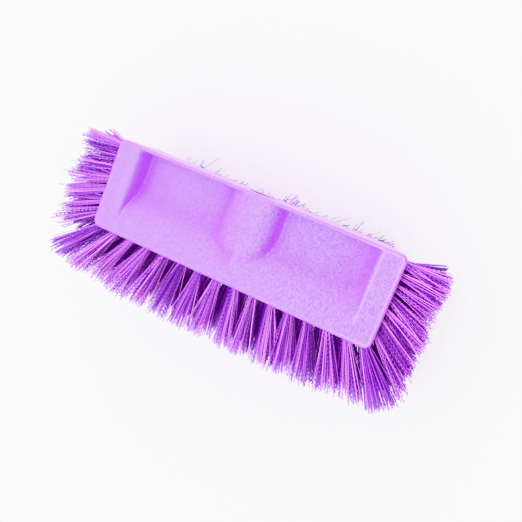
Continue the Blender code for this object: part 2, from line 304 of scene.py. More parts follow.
def pocket_distance(x, y, z):
    """Signed distance to the material around the pockets, positive in the air above it."""
    slope_y = POCKET_FRONT_Y + POCKET_SHOULDER_RADIUS * math.sin(POCKET_FRONT_SLOPE)
    slope_z = POCKET_SHOULDER_RADIUS * (math.cos(POCKET_FRONT_SLOPE) - 1)

    ground = z + POCKET_DEPTH
    end_wall = (END_WALL_X - np.abs(x) + z * math.tan(POCKET_END_DRAFT)) * math.cos(POCKET_END_DRAFT)
    rear_wall = (REAR_WALL_Y - y + z * math.tan(POCKET_REAR_DRAFT)) * math.cos(POCKET_REAR_DRAFT)
    slope = (z - slope_z + (y - slope_y) * math.tan(POCKET_FRONT_SLOPE)) * math.cos(POCKET_FRONT_SLOPE)
    boss = (from_boss_middle(x, y) - BOSS_HALF_WIDTH + z * math.tan(BOSS_DRAFT)) * math.cos(BOSS_DRAFT)

    solid = fillet_union(ground, rounded_cut(slope, z, SLOPE_CREST), FLOOR_FILLET)
    solid = fillet_union(solid, rounded_cut(boss, z, BOSS_CREST), BOSS_FILLET)
    right_fillet = LEFT_END_FILLET + (RIGHT_END_FILLET - LEFT_END_FILLET) * np.clip(
        -z / END_FILLET_FULL_AT, 0.0, 1.0)
    end_fillet = np.where(x < 0, LEFT_END_FILLET, right_fillet)
    solid = fillet_union(solid, rounded_cut(end_wall, z, END_WALL_CREST), end_fillet)
    solid = fillet_union(solid, rounded_cut(rear_wall, z, REAR_RIM_CREST), REAR_FILLET)
    return np.maximum(solid, z)


def top_height(x, y):
    """The top surface's height, found by halving: the distance only grows with height."""
    low = np.full_like(x, -2 * POCKET_DEPTH)
    high = np.full_like(x, POCKET_DEPTH)
    for _ in range(HEIGHT_STEPS):
        middle = (low + high) / 2
        inside = pocket_distance(x, y, middle) < 0
        low = np.where(inside, middle, low)
        high = np.where(inside, high, middle)
    return (low + high) / 2


# Sets painted shade: the deeper a point lies below its surroundings, the darker it is painted
def hollowness(x, y, z, reach):
    """How far a point lies below the mean height to its left and right, as a share of reach."""
    around = np.zeros_like(z)
    for step in range(1, HOLLOW_STEPS + 1):
        away = reach * step / HOLLOW_STEPS
        around += top_height(x - away, y) + top_height(x + away, y)
    return (around / (2 * HOLLOW_STEPS) - z) / reach


def wide_painted_shade(x, y, z):
    """The part of the painted shade in hollows that spreads over the pocket floors, but not from the boss
    to its right.
    """
    beside_boss = np.clip((x - BOSS_HALF_WIDTH) / (2 * WIDE_REACH), 0.0, 1.0)
    share = np.where(x < BOSS_HALF_WIDTH, WIDE_SHARE_LEFT, WIDE_SHARE_RIGHT * beside_boss)
    return share * np.clip(hollowness(x, y, z, WIDE_REACH), 0.0, 1.0)


def painted_boss_side_shade(x, y):
    """Painted shade along the boss's left flank."""
    from_flank = from_boss_middle(x, y) - BOSS_HALF_WIDTH
    shade = BOSS_SIDE_SHADE * np.exp(-((from_flank - BOSS_SIDE_OUT) / BOSS_SIDE_WIDTH) ** 2)
    return np.where(x < 0, shade, 0.0)


def painted_edge_highlight(x, y):
    """The thin painted highlight along the top's outer edge and beside the end walls, clearest at the
    right.
    """
    past_x = np.abs(x) - CORNER_X
    past_y = np.abs(y) - CORNER_Y
    to_corner = np.hypot(np.maximum(past_x, 0.0), np.maximum(past_y, 0.0))
    outside = to_corner + np.minimum(np.maximum(past_x, past_y), 0.0) - TOP_CORNER_RADIUS
    at_edge = np.exp(-(outside / EDGE_LINE_WIDTH) ** 2)
    past_wall = np.abs(x) - END_WALL_X - WALL_LINE_OUT
    beside_wall = (y > POCKET_FRONT_Y) * (y < REAR_WALL_Y)
    at_wall = beside_wall * np.exp(-(past_wall / EDGE_LINE_WIDTH) ** 2)
    return np.interp(x, EDGE_LINE_GROWS, (EDGE_LINE_LEAST, 1.0)) * np.maximum(at_edge, at_wall)


def painted_foot_highlight(x, y, z):
    """1 on the thin painted highlight along the foot of each pocket wall that faces right, and 0 away from
    it.
    """
    from_end_wall = END_WALL_X + x + z * math.tan(POCKET_END_DRAFT)
    from_boss = from_boss_middle(x, y) - BOSS_HALF_WIDTH + z * math.tan(BOSS_DRAFT)
    from_wall = np.where(x < 0, from_end_wall, from_boss)
    return np.exp(-((from_wall - FOOT_LINE_OUT) / FOOT_LINE_WIDTH) ** 2)


def spaced(marks):
    """Grid lines through (position, spacing) marks; a mark's spacing holds up to the next one."""
    lines = [marks[0][0]]
    for (start, spacing), (end, _) in zip(marks, marks[1:]):
        count = max(1, round((end - start) / spacing))
        lines.extend(start + (end - start) * step / count for step in range(1, count + 1))
    return np.array(lines)


def grid_lines():
    """Grid lines that crowd where the pocket walls are steep."""
    reach_x = BLOCK_LENGTH / 2 - TOP_EDGE_RADIUS
    reach_y = BLOCK_WIDTH / 2 - TOP_EDGE_RADIUS
    half = spaced([
        (0.0, EVEN_SPACING),
        (BOSS_FOOT_FROM, BOSS_FOOT_SPACING),
        (BOSS_FOOT_TO, OPEN_SPACING),
        (END_WALL_X - END_WALL_BAND_INSIDE, END_WALL_SPACING),
        (END_WALL_X + END_WALL_BAND_OUTSIDE, EVEN_SPACING),
        (CORNER_X, EDGE_SPACING),
        (reach_x, None)])
    lines_x = np.concatenate((-half[:0:-1], half))
    lines_y = spaced([
        (-reach_y, EDGE_SPACING),
        (-CORNER_Y, EVEN_SPACING),
        (CORNER_Y, EDGE_SPACING),
        (REAR_WALL_Y - REAR_WALL_BAND, REAR_WALL_SPACING),
        (reach_y, None)])
    return lines_x, lines_y


def round_corners(x, y):
    """Moves the grid's square corners onto the block's rounded ones."""
    u = np.clip(np.abs(x) - CORNER_X, 0.0, None) / TOP_CORNER_RADIUS
    v = np.clip(np.abs(y) - CORNER_Y, 0.0, None) / TOP_CORNER_RADIUS
    in_corner = (u > 0) & (v > 0)
    round_x = np.copysign(CORNER_X + TOP_CORNER_RADIUS * u * np.sqrt(1 - v ** 2 / 2), x)
    round_y = np.copysign(CORNER_Y + TOP_CORNER_RADIUS * v * np.sqrt(1 - u ** 2 / 2), y)
    return np.where(in_corner, round_x, x), np.where(in_corner, round_y, y)


def fall_back(point, depth):
    """A side point of the upright block, moved in with the sloping front and end faces."""
    below = max(0.0, depth - RIM_HEIGHT)
    share_x = max(-1.0, min(1.0, point.x / CORNER_X))
    share_y = max(0.0, min(1.0, (CORNER_Y - point.y) / (2 * CORNER_Y)))
    x = point.x - share_x * below * math.tan(END_SLOPE)
    y = point.y + share_y * below * math.tan(FRONT_SLOPE)
    return Vector((x, y, -depth))


def side_loops(edge):
    """Loops of points down the block's sides, from the top face's edge to the underside's."""
    levels = []
    for step in range(EDGE_STEPS + 1):
        angle = math.radians(90) * step / EDGE_STEPS
        levels.append((TOP_EDGE_RADIUS * math.sin(angle), TOP_EDGE_RADIUS * (1 - math.cos(angle))))
    for depth in (RIM_HEIGHT - RIM_EDGE_HALF, RIM_HEIGHT + RIM_EDGE_HALF, BLOCK_THICKNESS / 2):
        levels.append((TOP_EDGE_RADIUS, depth))
    for step in range(EDGE_STEPS + 1):
        angle = math.radians(90) * step / EDGE_STEPS
        levels.append((
            TOP_EDGE_RADIUS - BOTTOM_EDGE_RADIUS * (1 - math.cos(angle)),
            BLOCK_THICKNESS - BOTTOM_EDGE_RADIUS * (1 - math.sin(angle))))
    loops = []
    for outset, depth in levels:
        loop = []
        for x, y in edge:
            centre = Vector((max(-CORNER_X, min(CORNER_X, x)), max(-CORNER_Y, min(CORNER_Y, y))))
            outward = (Vector((x, y)) - centre).normalized()
            loop.append(fall_back(centre + outward * (TOP_CORNER_RADIUS + outset), depth))
        loops.append(loop)
    return loops


def side_shell(edge):
    """The block's sides and underside, closed by a flat top."""
    bm = bmesh.new()
    loops = [[bm.verts.new(point) for point in loop] for loop in side_loops(edge)]
    count = len(edge)
    for upper, lower in zip(loops, loops[1:]):
        for index in range(count):
            after = (index + 1) % count
            bm.faces.new((upper[index], lower[index], lower[after], upper[after]))
    bm.faces.new(loops[0])
    bm.faces.new(list(reversed(loops[-1])))
    return bm


def thread_profile(phase):
    """1 on the thread's crest and 0 in its groove, with sloping flanks."""
    wave = np.abs((phase % 1.0) * 2 - 1)
    return np.clip(wave * THREAD_STEEPNESS - 1, 0.0, 1.0)


def add_socket_cutter(bm):
    """A tapered plug with the thread cut into it, entering through the rear face."""
    rings = []
    stations = np.arange(-SOCKET_OUTSIDE, SOCKET_DEPTH + SOCKET_STEP / 2, SOCKET_STEP)
    for along in stations:
        ring = []
        lead_in = LEAD_IN * max(0.0, 1 - max(0.0, along) / LEAD_IN)
        for side in range(SOCKET_SIDES):
            turn = side / SOCKET_SIDES
            radius = SOCKET_MOUTH_RADIUS - along * math.tan(SOCKET_TAPER) + lead_in
            if along > THREAD_STARTS_AT:
                radius -= THREAD_HEIGHT * thread_profile(along / THREAD_PITCH - turn)
            angle = 2 * math.pi * turn
            ring.append(bm.verts.new((
                radius * math.cos(angle),
                BLOCK_WIDTH / 2 - along,
                -SOCKET_DROP + radius * math.sin(angle))))
        rings.append(ring)
    for outer, inner in zip(rings, rings[1:]):
        for side in range(SOCKET_SIDES):
            after = (side + 1) % SOCKET_SIDES
            bm.faces.new((outer[side], outer[after], inner[after], inner[side]))
    bm.faces.new(list(reversed(rings[0])))
    bm.faces.new(rings[-1])


def add_hole_cutters(bm, rows):
    """One round plug for each tuft's drilled hole."""
    for row in rows:
        for index in range(row.count):
            axis = row.axis(index)
            turn = axis.to_track_quat("Z", "Y").to_matrix().to_4x4()
            middle = row.root(index) + axis * (ROOT_DEPTH - HOLE_DEPTH) / 2
            bmesh.ops.create_cone(
                bm, cap_ends=True, segments=HOLE_SIDES, radius1=HOLE_RADIUS, radius2=HOLE_RADIUS,
                depth=HOLE_DEPTH + ROOT_DEPTH, matrix=Matrix.Translation(middle) @ turn)


def temporary_object(name, bm):
    bmesh.ops.recalc_face_normals(bm, faces=bm.faces)
    mesh = bpy.data.meshes.new(name)
    bm.to_mesh(mesh)
    bm.free()
    obj = bpy.data.objects.new(name, mesh)
    bpy.context.scene.collection.objects.link(obj)
    return obj


def cut_mesh(body, cutter):
    """The mesh of body with cutter taken out of it; both objects are then removed."""
    modifier = body.modifiers.new("cut", "BOOLEAN")
    modifier.operation = "DIFFERENCE"
    modifier.solver = "EXACT"
    modifier.use_self = True
    modifier.object = cutter
    depsgraph = bpy.context.evaluated_depsgraph_get()
    mesh = bpy.data.meshes.new_from_object(body.evaluated_get(depsgraph))
    bpy.data.objects.remove(body)
    bpy.data.objects.remove(cutter)
    return mesh


def mark_shell(bm, painted_shading, edge_highlight):
    """Marks the handle socket's wall with painted shade, and the top edge with a painted highlight line.
    """
    rear_y = BLOCK_WIDTH / 2
    for vert in bm.verts:
        if vert.co.z > -TOP_EDGE_RADIUS:
            vert[edge_highlight] = float(painted_edge_highlight(vert.co.x, vert.co.y))
        from_axis = math.hypot(vert.co.x, vert.co.z + SOCKET_DROP)
        along_socket = rear_y - SOCKET_DEPTH - SOCKET_STEP < vert.co.y < rear_y - SOCKET_STEP / 2
        if from_axis < SOCKET_MOUTH_RADIUS + LEAD_IN and along_socket:
            vert[painted_shading] = SOCKET_PAINTED_SHADE


def top_grid():
    """The points of the top face's grid, whose outer edge is level."""
    x, y = np.meshgrid(*grid_lines())
    x, y = round_corners(x, y)
    z = top_height(x, y)
    for border in (z[0], z[-1], z[:, 0], z[:, -1]):
        border[:] = 0.0
    return x, y, z


def grid_edge(deep, wide):
    """The places round the edge of a grid, in order."""
    places = [(0, i) for i in range(wide - 1)]
    places += [(j, wide - 1) for j in range(deep - 1)]
    places += [(deep - 1, i) for i in range(wide - 1, 0, -1)]
    places += [(j, 0) for j in range(deep - 1, 0, -1)]
    return places


def drilled_shell(edge, rows):
    """The sides and underside without their flat top, with the socket and the tufts' holes cut out."""
    cutters = bmesh.new()
    add_socket_cutter(cutters)
    add_hole_cutters(cutters, rows)
    shell = temporary_object("shell", side_shell(edge))
    bm = bmesh.new()
    bm.from_mesh(cut_mesh(shell, temporary_object("cutters", cutters)))
    lid = [
        face for face in bm.faces
        if face.normal.z > 0.5 and all(abs(vert.co.z) < LEVEL_TOLERANCE for vert in face.verts)]
    bmesh.ops.delete(bm, geom=lid, context="FACES")
    return bm


def add_top(bm, x, y, z, painted_shading, edge_highlight):
    """The top face's grid, marked with its painted shade and its painted highlight lines."""
    deep, wide = z.shape
    grid = [[bm.verts.new((x[j, i], y[j, i], z[j, i])) for i in range(wide)] for j in range(deep)]
    # painted shade in the hollows and along the boss's left flank, lessened where the painted highlight
    # runs along the wall feet
    painted_shading_here = hollowness(x, y, z, HOLLOW_REACH) + wide_painted_shade(x, y, z)
    painted_shading_here += painted_boss_side_shade(x, y) - FOOT_HIGHLIGHT_STRENGTH * painted_foot_highlight(x, y, z)
    edge_highlight_here = painted_edge_highlight(x, y)
    for j in range(deep):
        for i in range(wide):
            grid[j][i][painted_shading] = painted_shading_here[j, i]
            grid[j][i][edge_highlight] = edge_highlight_here[j, i]
    for j in range(deep - 1):
        for i in range(wide - 1):
            bm.faces.new((grid[j][i], grid[j][i + 1], grid[j + 1][i + 1], grid[j + 1][i]))


def block_mesh(rows):
    """The whole moulding: pocketed top, rounded rim, sloping sides, drilled holes and socket."""
    x, y, z = top_grid()
    edge = [(float(x[place]), float(y[place])) for place in grid_edge(*z.shape)]
    bm = drilled_shell(edge, rows)
    # point attributes for painted shade and for a painted highlight along the top edge
    painted_shading = bm.verts.layers.float.new("painted_shading")
    edge_highlight = bm.verts.layers.float.new("edge_highlight")
    mark_shell(bm, painted_shading, edge_highlight)
    add_top(bm, x, y, z, painted_shading, edge_highlight)
    bmesh.ops.remove_doubles(bm, verts=bm.verts, dist=WELD_DISTANCE)
    bmesh.ops.translate(bm, vec=ORIGIN, verts=bm.verts)
    mesh = bpy.data.meshes.new("block_moulding")
    bm.to_mesh(mesh)
    bm.free()
    mesh.shade_smooth()
    mesh.set_sharp_from_angle(angle=SHARP_ANGLE)
    return mesh


# Tuft rows

class Row:
    """A straight row of tufts.

    fan and lean turn each tuft along the row and across it, by its share of the way along. The tufts
    are cut flat at trim above the face or, without a trim, all have the same length. A corner_trim is a
    second cut: a point on it and the direction that it faces.
    """

    def __init__(
            self, name, count, pitch, centre, along, outward, lean, fan, splay, length=None, trim=None,
            corner_trim=None, fill=0, wisps=0):
        self.name = name
        self.count = count
        self.pitch = pitch
        self.centre = centre
        self.along = along.normalized()
        self.outward = outward.normalized()
        self.across = self.outward.cross(self.along)
        self.lean = lean
        self.fan = fan
        self.splay_along, self.splay_across = splay
        self.length = length
        self.trim = trim
        self.corner_trim = corner_trim
        self.fill = fill
        self.wisps = wisps

    def root(self, index):
        return self.centre + self.along * (index - (self.count - 1) / 2) * self.pitch

    def axis(self, index):
        share = index / (self.count - 1)
        fan = self.along * math.tan(self.fan(share))
        lean = self.across * math.tan(self.lean(share))
        return (self.outward + fan + lean).normalized()

    def reach(self, index):
        """A tuft's length from the face to its tip."""
        if self.trim:
            return self.trim / self.axis(index).dot(self.outward)
        return self.length


def even(first, last):
    """An angle that changes evenly along a row."""
    return lambda share: first + share * (last - first)


def front_fan(share):
    """The front tufts fan out from the place where they stand square to the face."""
    if share < FRONT_SQUARE_AT:
        return FRONT_FAN_LEFT * (1 - share / FRONT_SQUARE_AT)
    return FRONT_FAN_RIGHT * (share - FRONT_SQUARE_AT) / (1 - FRONT_SQUARE_AT)


def front_y(depth):
    return -BLOCK_WIDTH / 2 + max(0.0, depth - RIM_HEIGHT) * math.tan(FRONT_SLOPE)


def front_rows():
    down = Vector((0, math.sin(FRONT_SLOPE), -math.cos(FRONT_SLOPE)))
    outward = Vector((0, -math.cos(FRONT_SLOPE), -math.sin(FRONT_SLOPE)))
    upper_lift = even(FRONT_UPPER_LIFT_LEFT, FRONT_UPPER_LIFT_RIGHT)
    lower_lift = even(FRONT_LOWER_LIFT, FRONT_LOWER_LIFT)
    rows = []
    for name, count, below, lift, splay, fill in (
            ("front_upper_tufts", FRONT_UPPER_COUNT, UPPER_ROW_BELOW_RIM, upper_lift, UPPER_SPLAY, 0),
            ("front_lower_tufts", FRONT_LOWER_COUNT, LOWER_ROW_BELOW_RIM, lower_lift, LOWER_SPLAY,
             LOWER_FILL)):
        centre = Vector((0, front_y(0.0), -RIM_HEIGHT)) + below * down
        rows.append(Row(
            name, count, FRONT_PITCH, centre, Vector((1, 0, 0)), outward, lift, front_fan, splay,
            length=FRONT_TUFT_LENGTH, fill=fill))
    return rows


def end_rows():
    sides = (
        (-1, "left", even(LEFT_END_FAN_REAR, LEFT_END_FAN_FRONT), LEFT_END_LIFT_REAR, LEFT_END_LIFT_FRONT),
        (1, "right", even(-RIGHT_END_FAN_FRONT, -RIGHT_END_FAN_REAR), RIGHT_END_LIFT, RIGHT_END_LIFT))
    rear_corner = Vector((BLOCK_LENGTH / 2, BLOCK_WIDTH / 2, 0))
    diagonal = Vector((1, 1, 0)).normalized()
    corner_trim = (rear_corner + REAR_CORNER_TRIM * diagonal, diagonal)
    rows = []
    for side, side_name, fan, first_lift, last_lift in sides:
        outward = Vector((side * math.cos(END_SLOPE), 0, -math.sin(END_SLOPE)))
        for name, count, below, drop, splay, fill in (
                ("end_upper_tufts", END_UPPER_COUNT, UPPER_ROW_BELOW_RIM, 0.0, UPPER_SPLAY, 0),
                ("end_lower_tufts", END_LOWER_COUNT, LOWER_ROW_BELOW_RIM, END_LOWER_DROP, LOWER_SPLAY,
                 LOWER_FILL)):
            rear_inset = END_ROW_REAR_INSET + (END_UPPER_COUNT - count) * END_PITCH / 2
            centre = Vector((
                side * (BLOCK_LENGTH / 2 - below * math.sin(END_SLOPE)),
                BLOCK_WIDTH / 2 - rear_inset - (count - 1) * END_PITCH / 2,
                -RIM_HEIGHT - below * math.cos(END_SLOPE)))
            rows.append(Row(
                f"{side_name}_{name}", count, END_PITCH, centre, Vector((0, side, 0)), outward,
                even(first_lift - drop, last_lift - drop), fan, splay, trim=END_TRIM,
                corner_trim=corner_trim if side > 0 else None, fill=fill))
    return rows


def corner_rows():
    set_back = CORNER_RADIUS - math.sqrt(CORNER_RADIUS ** 2 - (SLICE_WIDTH / 2) ** 2)
    rows = []
    for side, side_name, turn, splay, length in (
            (-1, "left", CORNER_LEFT_TURN, CORNER_LEFT_SPLAY, CORNER_LEFT_LENGTH),
            (1, "right", CORNER_RIGHT_TURN, CORNER_RIGHT_SPLAY, CORNER_RIGHT_LENGTH)):
        sideways = Vector((side * math.sin(CORNER_AZIMUTH), -math.cos(CORNER_AZIMUTH), 0))
        slant = Vector((side * math.tan(END_SLOPE), -math.tan(FRONT_SLOPE), 0))
        outward = Vector((sideways.x, sideways.y, -slant.dot(sideways))).normalized()
        up = (slant + Vector((0, 0, 1))).normalized()
        below = CORNER_FIRST_BELOW_RIM + (CORNER_TUFT_COUNT - 1) * CORNER_PITCH / 2
        arc_centre = Vector((side * CORNER_X, -CORNER_Y, 0))
        at_rim = arc_centre + sideways * CORNER_RADIUS - Vector((0, 0, RIM_HEIGHT))
        centre = at_rim - up * below - outward * set_back
        rows.append(Row(
            f"front_{side_name}_corner_tufts", CORNER_TUFT_COUNT, CORNER_PITCH, centre, up, outward,
            even(-side * CORNER_LOWER_TURN, -side * turn), even(CORNER_LOWER_LIFT, CORNER_UPPER_LIFT),
            splay, length=length, fill=CORNER_FILL))
    return rows


def bottom_rows():
    first = front_y(BLOCK_THICKNESS) + BOTTOM_FRONT_INSET
    last_row = len(BOTTOM_COUNTS) - 1
    rows = []
    for index, count in enumerate(BOTTOM_COUNTS):
        lean = BOTTOM_FRONT_LEAN + index / last_row * (BOTTOM_REAR_LEAN - BOTTOM_FRONT_LEAN)
        centre = Vector((0, first + index * BOTTOM_ROW_SPACING, -BLOCK_THICKNESS))
        rows.append(Row(
            f"bottom_tufts_{index + 1}", count, FRONT_PITCH, centre, Vector((-1, 0, 0)),
            Vector((0, 0, -1)), even(lean, lean), even(-BOTTOM_FAN, BOTTOM_FAN), BOTTOM_SPLAY,
            trim=BOTTOM_TRIM, wisps=REAR_WISPS if index == last_row else 0))
    return rows


# Filaments

Kind = namedtuple("Kind", "form count rings radius sides tones")


def filament_reach(rng, row, index, start, direction):
    """How far each of a tuft's filaments goes before its row's trims, or its length, end it."""
    count = len(start)
    if row.trim:
        outward = np.array(row.outward)
        from_face = (start - np.array(row.centre)) @ outward
        trim = row.trim - FLOOR_CLEARANCE - rng.uniform(0, LENGTH_SCATTER, count)
        reach = (trim - from_face) / (direction @ outward)
        reach = np.minimum(reach, LONGEST_FILAMENT * row.reach(index) + ROOT_DEPTH)
    else:
        reach = row.length + ROOT_DEPTH + rng.normal(0, LENGTH_SCATTER, count)
    if row.corner_trim:
        point, facing = (np.array(vector) for vector in row.corner_trim)
        room = (point - start) @ facing - rng.uniform(0, LENGTH_SCATTER, count)
        reach = np.minimum(reach, room / np.maximum(direction @ facing, LEAST_APPROACH))
    return reach


def crimp_steps(rng, share, side, up):
    """The steps to alternate sides of each filament's line, small at its root."""
    count = len(share)
    turn = rng.normal(0, CRIMP_TURN_SCATTER, count)
    sideways = np.cos(turn)[:, None] * side + np.sin(turn)[:, None] * up
    height = CRIMP_HEIGHT * rng.uniform(*CRIMP_HEIGHT_SPREAD, count)[:, None]
    height = height * np.minimum(1, share * CRIMP_GROWTH)
    height[:, ::2] *= -1
    return sideways[:, None, :] * height[:, :, None]


def tuft_lines(rng, row, index, kind, sway, crimp_phase):
    """Centre lines of one kind of a tuft's filaments, as an array of count x rings x 3.

    A crimped filament zigzags: its rings lie half a crimp apart, on alternate sides of its line.
    """
    count = kind.count
    rings = kind.rings
    axis = np.array(row.axis(index))
    side = np.cross(axis, np.array(row.across))
    side /= np.linalg.norm(side)
    up = np.cross(side, axis)
    around = rng.uniform(0, 2 * math.pi, count)
    out = np.sqrt(rng.uniform(0, 1, count))
    offset_side = (out * np.cos(around))[:, None] * side
    offset_up = (out * np.sin(around))[:, None] * up
    scatter = np.where(rng.uniform(0, 1, count) < STRAY_SHARE, STRAY_SCATTER, FILAMENT_SCATTER)
    wander = sway + rng.normal(0, 1, (count, 2)) * np.tan(scatter)[:, None]
    if kind.form == "wisp":
        wander = rng.uniform(WISP_SLOPES_LOW, WISP_SLOPES_HIGH, (count, 2))
    splay = offset_side * math.tan(row.splay_along) + offset_up * math.tan(row.splay_across)
    direction = axis + splay + wander[:, :1] * side + wander[:, 1:] * up
    direction /= np.linalg.norm(direction, axis=1)[:, None]
    in_hole = (offset_side + offset_up) * (HOLE_RADIUS - CRIMPED_RADIUS)
    start = np.array(row.root(index)) + in_hole - direction * ROOT_DEPTH
    bend = rng.normal(0, BEND_AT_TIP, (count, 2))
    sag = bend[:, :1] * side + bend[:, 1:] * up
    if row.trim:
        sag = bend[:, :1] * np.array(row.along) + bend[:, 1:] * np.array(row.across)
    reach = filament_reach(rng, row, index, start, direction)
    share = np.broadcast_to(np.linspace(0, 1, rings), (count, rings))
    if kind.form == "crimped":
        phase = crimp_phase + rng.normal(0, CRIMP_PHASE_SCATTER, count)[:, None]
        share = np.clip((np.arange(rings) - np.clip(phase, *CRIMP_PHASES)) / (rings - 2), 0.0, 1.0)
    lines = start[:, None, :] + direction[:, None, :] * (reach[:, None] * share)[:, :, None]
    lines = lines + sag[:, None, :] * (share ** 2)[:, :, None]
    if kind.form == "crimped":
        lines = lines + crimp_steps(rng, share, side, up)
    return lines, direction


def tubes(lines, direction, radius, sides):
    """Closed tubes round the lines: corner points, and the corner indices of side and end faces."""
    count, rings, _ = lines.shape
    upright = np.abs(direction[:, 2:]) >= NEARLY_UPRIGHT
    helper = np.where(upright, np.array((1.0, 0, 0)), np.array((0.0, 0, 1.0)))
    first = np.cross(direction, helper)
    first /= np.linalg.norm(first, axis=1)[:, None]
    second = np.cross(direction, first)
    angle = 2 * math.pi * np.arange(sides) / sides
    spoke = first[:, None, :] * np.cos(angle)[:, None] + second[:, None, :] * np.sin(angle)[:, None]
    points = lines[:, :, None, :] + radius * spoke[:, None, :, :]
    index = np.arange(count * rings * sides).reshape(count, rings, sides)
    after = np.roll(index, -1, axis=2)
    walls = np.stack((index[:, :-1], after[:, :-1], after[:, 1:], index[:, 1:]), axis=-1)
    ends = np.concatenate((index[:, 0, ::-1], index[:, -1, :]))
    return points.reshape(-1, 3), walls.reshape(-1, 4), ends


def filament_kinds(row, crimp_rings):
    """The kinds of filament that each of a row's tufts holds."""
    return (
        Kind("straight", STRAIGHT_PER_TUFT, STRAIGHT_RINGS, STRAIGHT_RADIUS, STRAIGHT_SIDES,
             STRAIGHT_TONES),
        Kind("crimped", CRIMPED_PER_TUFT, crimp_rings, CRIMPED_RADIUS, CRIMPED_SIDES, CRIMPED_TONES),
        Kind("straight", row.fill, FILL_RINGS, CRIMPED_RADIUS, FILL_SIDES, FILL_TONES),
        Kind("wisp", row.wisps, STRAIGHT_RINGS, WISP_RADIUS, WISP_SIDES, WISP_TONES))


def filament_mesh(row, seed):
    """Every filament of a row in one mesh, each with its own tone."""
    rng = np.random.default_rng(seed)
    points, corners, sizes, tones = [], [], [], []
    used = 0
    for index in range(row.count):
        sway = rng.normal(0, math.tan(TUFT_SWAY), 2)
        crimp_phase = rng.uniform(*TUFT_PHASES)
        crimp_rings = round((row.reach(index) + ROOT_DEPTH) / (CRIMP_LENGTH / 2)) + 2
        for kind in filament_kinds(row, crimp_rings):
            lines, direction = tuft_lines(rng, row, index, kind, sway, crimp_phase)
            tube_points, walls, ends = tubes(lines, direction, kind.radius, kind.sides)
            points.append(tube_points)
            corners.append((walls + used).ravel())
            sizes.append(np.full(len(walls), 4))
            corners.append((ends + used).ravel())
            sizes.append(np.full(len(ends), kind.sides))
            tones.append(np.repeat(rng.uniform(*kind.tones, kind.count), kind.rings * kind.sides))
            used += len(tube_points)
    points = np.concatenate(points) + np.array(ORIGIN)
    corners = np.concatenate(corners)
    sizes = np.concatenate(sizes)
    mesh = bpy.data.meshes.new(row.name)
    mesh.vertices.add(len(points))
    mesh.vertices.foreach_set("co", points.ravel())
    mesh.loops.add(len(corners))
    mesh.loops.foreach_set("vertex_index", corners)
    mesh.polygons.add(len(sizes))
    mesh.polygons.foreach_set("loop_start", np.cumsum(sizes) - sizes)
    mesh.update(calc_edges=True)
    tone = mesh.attributes.new("tone", "FLOAT", "POINT")
    tone.data.foreach_set("value", np.concatenate(tones))
    mesh.shade_smooth()
    return mesh


# Materials: colours are dark and light where the mottle mixes two

# a shaded copy of the foam colour, painted shade for walls, and a lit copy, painted light for faces that
# look up
SHADED_TINTS = ((0.40, 0.05, 0.60, 1), (0.66, 0.115, 0.98, 1))
LIT_TINTS = ((0.25, 0.09, 0.42, 1), (0.70, 0.33, 1.0, 1))
# pale pink of the painted highlight along the top edge
EDGE_HIGHLIGHT_TINT = (0.93, 0.50, 1.0, 1)
EDGE_HIGHLIGHT_SHARE = 0.6
# pale pink for the rear face: painted light from behind
REAR_PAINTED_LIGHT_TINT = (0.85, 0.47, 1.0, 1)
REAR_PAINTED_LIGHT_SHARE = 0.85
# near black for the socket's wall: painted shade
SOCKET_SHADE_TINT = (0.03, 0.004, 0.05, 1)
SOCKET_SHADE_FROM = 1.5
PAINTED_SHADING_SHARE = 1.4
# faces that look up get the lit tint: painted light
UPWARD_PAINTED_LIGHT = (0.4, 1.0)
BACKWARD_PAINTED_LIGHT = (0.75, 0.95)
SWIRL_SCALE = 60.0
SWIRL_PUSH = (0.012, 0.012, 0.012)
GRAIN_TURN = (0.0, 0.0, math.radians(35))
GRAIN_STRETCH = (1.0, 0.6, 0.8)
GRAIN_SCALE = 820.0
GRAIN_HEIGHT = 0.0007
FLECKS = (0.36, 0.64)
# a painted sheen growing from left to right: paler, with stronger flecks, at the right
PAINTED_SHEEN_ALONG_X = (-0.08, 0.05)
LEAST_MOTTLE = 0.5
LEAST_SHEEN_PALENESS = 0.8
FOAM_ROUGHNESS = (0.4, 0.62)
FOAM_SHEEN_TINT = (1.0, 0.82, 1.0, 1)
# the top stop is the pink of the painted highlights on the straight filaments, the bottom one the near
# black of the painted shade on the wisps
FILAMENT_TINTS = (
    (0.0, (0.07, 0.02, 0.08, 1)),
    (0.06, (0.11, 0.005, 0.33, 1)),
    (0.5, (0.33, 0.04, 0.60, 1)),
    (1.0, (1.0, 0.36, 1.0, 1)))
FLOOR_TINT = (0.8, 0.8, 0.8, 1)


def plug(tree, socket, value):
    """Links a node's output to an input, or sets the input to a plain value."""
    if isinstance(value, bpy.types.NodeSocket):
        tree.links.new(value, socket)
    else:
        socket.default_value = value


def mapped(tree, value, source=(0.0, 1.0), target=(0.0, 1.0)):
    """A value with its source range stretched onto the target range, and held there."""
    node = add_node(tree, "ShaderNodeMapRange")
    for name, number in zip(("From Min", "From Max", "To Min", "To Max"), source + target):
        node.inputs[name].default_value = number
    plug(tree, node.inputs["Value"], value)
    return node.outputs["Result"]


def computed(tree, operation, values, use_clamp=False):
    """The result of a maths node."""
    node = add_node(tree, "ShaderNodeMath", operation=operation, use_clamp=use_clamp)
    for socket, value in zip(node.inputs, values):
        plug(tree, socket, value)
    return node.outputs[0]


def mixed(tree, share, first, second):
    """The mix of two colours, by the share of the second."""
    node = add_node(tree, "ShaderNodeMix", data_type="RGBA")
    for socket, value in ((0, share), (6, first), (7, second)):
        plug(tree, node.inputs[socket], value)
    return node.outputs[2]


